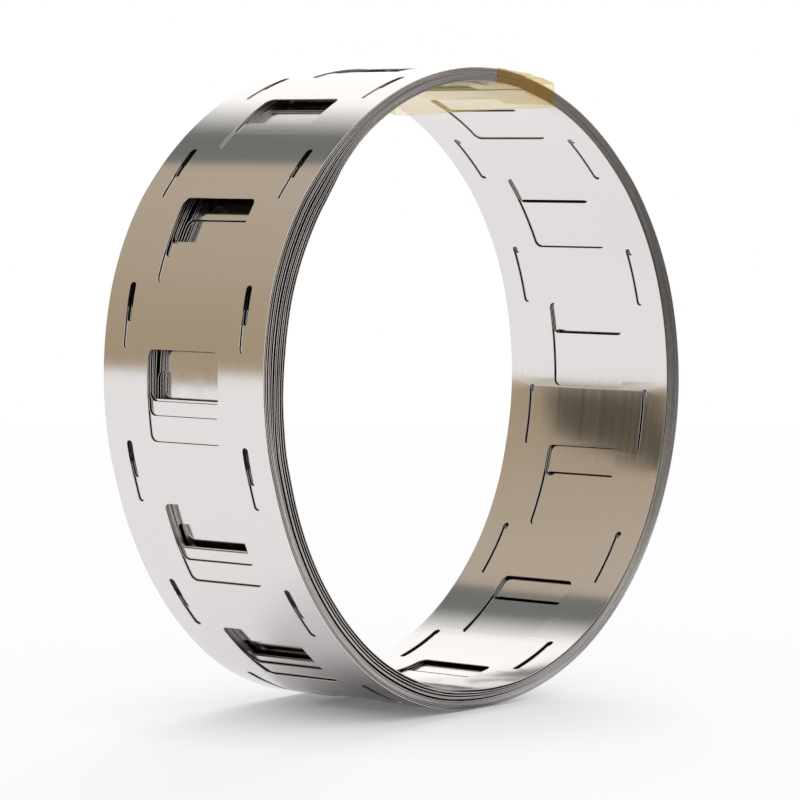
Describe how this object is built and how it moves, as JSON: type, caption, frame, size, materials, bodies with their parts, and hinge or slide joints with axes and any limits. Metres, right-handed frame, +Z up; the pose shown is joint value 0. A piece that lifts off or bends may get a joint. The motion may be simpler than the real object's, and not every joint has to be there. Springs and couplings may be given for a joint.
{
  "type": "coil of punched nickel strip",
  "caption": "Coil of twelve turns of punched nickel strip for joining battery cells two abreast, standing on its rim and held by one wrap of amber film tape.",
  "frame": {"origin": "centre of the coil's bore, halfway along it", "axes": "+Y along the bore from the front end to the back end, +Z up as the coil stands on its rim"},
  "size_m": [0.078, 0.0256, 0.078],
  "materials": {
    "nickel": "satin",
    "amber_film": "glossy"
  },
  "bodies": {
    "root": {"strip_coil": "nickel", "tape_band": "amber_film"}
  },
  "joints": []
}
